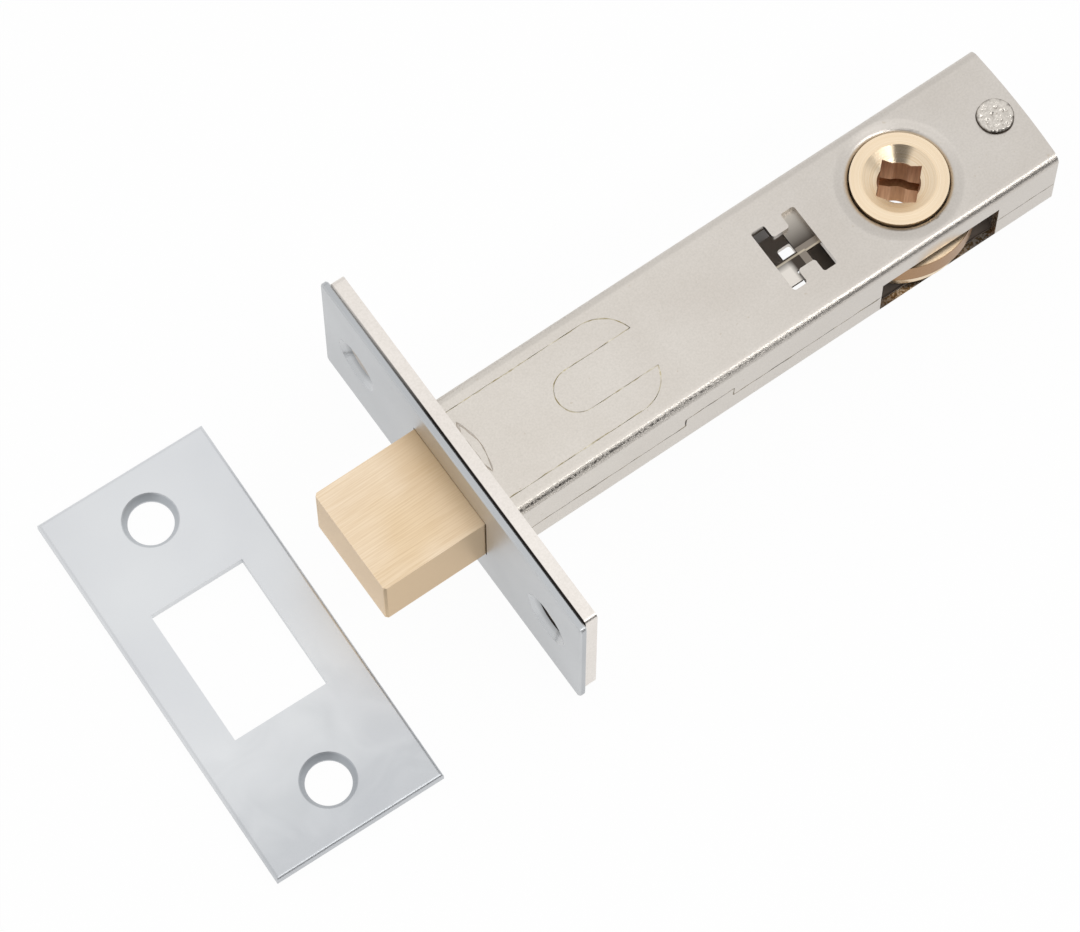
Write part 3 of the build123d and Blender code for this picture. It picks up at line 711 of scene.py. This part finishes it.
# Face plate and strike plate
# Steel with satin chrome, which is a cool, even grey with hardly any grain. The face plate's
# countersinks were cut smooth, so they are glossier, and painted shade darkens them towards their bores.
def satin_chrome(name, low, high, marks):
    """Satin chrome. Each of the marks is a colour that tints it and a function for its share."""
    chrome = new_finish(name)
    where = add(chrome, "ShaderNodeTexCoord").outputs["Object"]
    axes = add(chrome, "ShaderNodeSeparateXYZ", {"Vector": where})
    clouds = add(chrome, "ShaderNodeTexNoise", {"Vector": where, "Scale": per_metre(16), "Detail": 2.0})
    colour = add(chrome, "ShaderNodeValToRGB", {"Fac": clouds}, [(0.3, low), (0.7, high)])
    for mark_colour, share in marks:
        colour = add(chrome, "ShaderNodeMix", {
            0: share(chrome, axes), 6: colour, 7: paint(mark_colour),
        }, data_type="RGBA", blend_type="MULTIPLY")
    # Polishing lines are far below 0.1 mm. They are drawn at 0.2 mm, because finer doesn't show.
    drawn = add(chrome, "ShaderNodeMapping", {"Vector": where, "Scale": (1, 0.05, 1)})
    lines = add(chrome, "ShaderNodeTexNoise", {"Vector": drawn, "Scale": per_metre(0.2), "Detail": 3.0})
    skin = add(chrome, "ShaderNodeBump", {"Strength": 0.4, "Distance": 2e-6, "Height": lines})
    cut = add(chrome, "ShaderNodeMath", {0: axes.outputs["X"], 1: -margin}, operation="LESS_THAN")
    near = add(chrome, "ShaderNodeMapRange", {"Value": from_screw(chrome, axes), 1: 0.0042, 2: 0.004})
    smooth = add(chrome, "ShaderNodeMath", {0: cut, 1: near}, operation="MULTIPLY")
    dull = add(chrome, "ShaderNodeMapRange", {"Value": smooth, 3: 0.4, 4: 0.2})
    surface = add(chrome, "ShaderNodeBsdfPrincipled", {
        "Base Color": colour, "Metallic": 1.0, "Roughness": dull, "Normal": skin,
    })
    add(chrome, "ShaderNodeOutputMaterial", {"Surface": surface})
    return chrome


plate_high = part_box("face_plate")[1]


def sheared_edges(material, axes):
    """1 on the narrow faces of the face plate behind its front chamfer."""
    side = add(material, "ShaderNodeMath", {0: axes.outputs["Y"]}, operation="ABSOLUTE")
    level = add(material, "ShaderNodeMath", {0: axes.outputs["Z"]}, operation="ABSOLUTE")
    end = add(material, "ShaderNodeMath", {0: side, 1: plate_high[1] - 0.00005}, operation="GREATER_THAN")
    long = add(material, "ShaderNodeMath", {0: level, 1: plate_high[2] - 0.00005}, operation="GREATER_THAN")
    either = add(material, "ShaderNodeMath", {0: end, 1: long}, operation="MAXIMUM")
    behind = add(material, "ShaderNodeMath", {0: axes.outputs["X"], 1: -0.00021}, operation="LESS_THAN")
    return add(material, "ShaderNodeMath", {0: either, 1: behind}, operation="MULTIPLY")


def back_joint(material, axes):
    """1 at the face plate's back, where dirt and painted shade fill the joint to the forend."""
    back = add(material, "ShaderNodeMapRange", {
        "Value": axes.outputs["X"], 1: joint_place + 0.00007, 2: joint_place + 0.00002,
    })
    left = add(material, "ShaderNodeMapRange", {"Value": axes.outputs["Y"], 1: -0.026, 2: -0.006, 3: 0.1})
    return add(material, "ShaderNodeMath", {0: back, 1: left}, operation="MULTIPLY")


def face_plate_bore_shade(material, axes):
    """1 in the countersinks near the bores, where painted shade darkens them."""
    cut = add(material, "ShaderNodeMath", {0: axes.outputs["X"], 1: -margin}, operation="LESS_THAN")
    reach = from_screw(material, axes)
    near = add(material, "ShaderNodeMapRange", {"Value": reach, 1: 0.0034, 2: 0.0024})
    return add(material, "ShaderNodeMath", {0: cut, 1: near}, operation="MULTIPLY")


# The dark at the face plate's back, #3C3A38, is dirt and painted shade.
# The grey in the countersinks, #8E9092, is painted shade.
finish_node("face_plate", satin_chrome("satin chrome", "#C8CACC", "#D0D2D4", (
    ("#ECEDEE", sheared_edges), ("#3C3A38", back_joint), ("#8E9092", face_plate_bore_shade),
)))

strike_holes = [row["pos_m"] for row in frame["record"]["mounts"] if row["name"].startswith("strike_screw")]


def strike_bores(material, axes):
    """1 on the walls of the strike plate's screw holes."""
    found = []
    for x, y, _ in strike_holes:
        aside = add(material, "ShaderNodeMath", {0: axes.outputs["X"], 1: x}, operation="SUBTRACT")
        along = add(material, "ShaderNodeMath", {0: axes.outputs["Y"], 1: y}, operation="SUBTRACT")
        across = add(material, "ShaderNodeCombineXYZ", {"X": aside, "Y": along})
        found.append(add(material, "ShaderNodeVectorMath", {0: across}, operation="LENGTH").outputs["Value"])
    nearest = add(material, "ShaderNodeMath", {0: found[0], 1: found[1]}, operation="MINIMUM")
    return add(material, "ShaderNodeMapRange", {"Value": nearest, 1: 0.00382, 2: 0.0036})


def greyer_near_end(material, axes):
    """Grows to 1 towards the near end of the strike plate, which is greyer and faintly stained."""
    where = add(material, "ShaderNodeTexCoord").outputs["Object"]
    stain = add(material, "ShaderNodeTexNoise", {
        "Vector": where, "Scale": per_metre(9), "Detail": 2.0, "Distortion": 1.5,
    })
    shift = add(material, "ShaderNodeMath", {0: stain, 1: 0.5}, operation="SUBTRACT")
    moved = add(material, "ShaderNodeMath", {
        0: shift, 1: 0.02, 2: axes.outputs["Y"],
    }, operation="MULTIPLY_ADD")
    return add(material, "ShaderNodeMapRange", {"Value": moved, 1: 0.006, 2: 0.026})


finish_node("strike_plate", satin_chrome("satin chrome on the strike plate", "#DDDFE2", "#E4E6E8", (
    ("#E8E9EA", greyer_near_end), ("#DDDFE1", strike_bores),
)))


# Floor and light
# A white table in a white tent. The tent is open low down on the near side, where the room is dark,
# and a long lamp stands over that side, so the fold shows a bright line beside a dark one.
white_table = new_finish("white table")
# Looked at, the table is nearly all glow, so that it stays white and its shadow faint. In a
# reflection it glows less, and what light it throws on the bolt it throws as plain white board.
rays = add(white_table, "ShaderNodeLightPath").outputs
through = add(white_table, "ShaderNodeMath", {
    0: rays["Is Glossy Ray"], 1: rays["Is Transmission Ray"],
}, operation="MAXIMUM")
mirrored = add(white_table, "ShaderNodeMath", {0: through, 1: 0.75}, operation="MULTIPLY")
seen = add(white_table, "ShaderNodeMath", {0: rays["Is Camera Ray"], 1: 0.96}, operation="MULTIPLY")
glow_share = add(white_table, "ShaderNodeMath", {0: seen, 1: mirrored}, operation="MAXIMUM")
lit = add(white_table, "ShaderNodeBsdfDiffuse", {"Color": paint("#F9F9F9")})
glow = add(white_table, "ShaderNodeEmission", {"Color": paint("#FFFFFF"), "Strength": 1.0})
covered = add(white_table, "ShaderNodeMixShader", {0: glow_share, 1: lit, 2: glow})
add(white_table, "ShaderNodeOutputMaterial", {"Surface": covered})

# The table ends soon on the near side, where the dark room shows past its edge.
table_reach, table_near = 0.9, 0.16
table_corners = [
    (-table_reach, -table_reach), (table_reach, -table_reach),
    (table_reach, table_near), (-table_reach, table_near),
]
table_mesh = bpy.data.meshes.new("table")
table_mesh.from_pydata([(x, y, cad_box[0].z) for x, y in table_corners], [], [(0, 1, 2, 3)])
table_mesh.materials.append(white_table)
table = bpy.data.objects.new("table", table_mesh)
scene.collection.objects.link(table)

tent = bpy.data.worlds.new("light tent")
scene.world = tent
tent.use_nodes = True
tent.node_tree.nodes.clear()
direction = add(tent, "ShaderNodeTexCoord").outputs["Generated"]
heading = add(tent, "ShaderNodeSeparateXYZ", {"Vector": direction})
rise = add(tent, "ShaderNodeMapRange", {"Value": heading.outputs["Z"], 1: -1.0, 2: 1.0})
white_side = add(tent, "ShaderNodeValToRGB", {"Fac": rise}, [(0.0, "#F4F4F4"), (1.0, "#ECECEC")])
dark_side = add(tent, "ShaderNodeValToRGB", {"Fac": rise}, [
    (0.0, "#E8E8E8"), (1.0, "#ECECEC"), (0.30, "#D8D8D8"), (0.42, "#2A2A2A"), (0.61, "#303030"),
    (0.69, "#A0A0A0"), (0.74, "#FFFFFF"),
])
near_side = add(tent, "ShaderNodeMapRange", {"Value": heading.outputs["Y"], 1: 0.45, 2: 0.75})
walls = add(tent, "ShaderNodeMix", {0: near_side, 6: white_side, 7: dark_side}, data_type="RGBA")
# The gap in the tent through which the bolt is looked at.
towards_gap = add(tent, "ShaderNodeVectorMath", {
    0: direction, 1: (0.465, 0.662, 0.588),
}, operation="DOT_PRODUCT")
gap = add(tent, "ShaderNodeMapRange", {"Value": towards_gap.outputs["Value"], 1: 0.87, 2: 0.95})
walls = add(tent, "ShaderNodeMix", {0: gap, 6: walls, 7: paint("#4A4A4A")}, data_type="RGBA")
behind_all = add(tent, "ShaderNodeLightPath").outputs["Is Camera Ray"]
walls = add(tent, "ShaderNodeMix", {0: behind_all, 6: walls, 7: paint("#FFFFFF")}, data_type="RGBA")
light = add(tent, "ShaderNodeBackground", {"Color": walls, "Strength": 1.0})
add(tent, "ShaderNodeOutputWorld", {"Surface": light})

lamps = (
    ("lamp over the bolt", (-0.05, 0.0, 0.6), (0.5, 0.5), 0.2),
    ("long lamp over the near side", (-0.16, 0.37, 0.46), (0.4, 0.08), 0.6),
)
lamp_aim = Vector((-0.04, 0.0, 0.0))
for name, place, (length, width), watts in lamps:
    lamp = bpy.data.lights.new(name, "AREA")
    lamp.shape = "RECTANGLE"
    lamp.size = length
    lamp.size_y = width
    lamp.energy = watts
    holder = bpy.data.objects.new(name, lamp)
    holder.location = place
    holder.rotation_euler = (lamp_aim - Vector(place)).to_track_quat("-Z", "Y").to_euler()
    scene.collection.objects.link(holder)


# Camera
# A long lens looks down on the bolt from in front of its near end, as in the photograph.
camera_turn = math.radians(-35.078)
camera_rise = math.radians(69.12)
camera_distance = 0.70813
camera_aim = (-0.011336, -0.003237)
right = Vector((-math.cos(camera_turn), -math.sin(camera_turn), 0))
back = Vector((
    -math.sin(camera_turn) * math.cos(camera_rise),
    math.cos(camera_turn) * math.cos(camera_rise),
    math.sin(camera_rise),
))
up = back.cross(right)
spot = back * camera_distance - right * camera_aim[0] - up * camera_aim[1]
camera_data = bpy.data.cameras.new("camera")
camera_data.sensor_fit = "HORIZONTAL"
camera_data.sensor_width = 36
camera_data.lens = 186.69
camera_data.clip_start = 0.01
camera_data.clip_end = 10
camera = bpy.data.objects.new("camera", camera_data)
camera.matrix_world = Matrix.Translation(spot) @ Matrix((right, up, back)).transposed().to_4x4()
scene.collection.objects.link(camera)
scene.camera = camera

scene.view_settings.view_transform = "Standard"
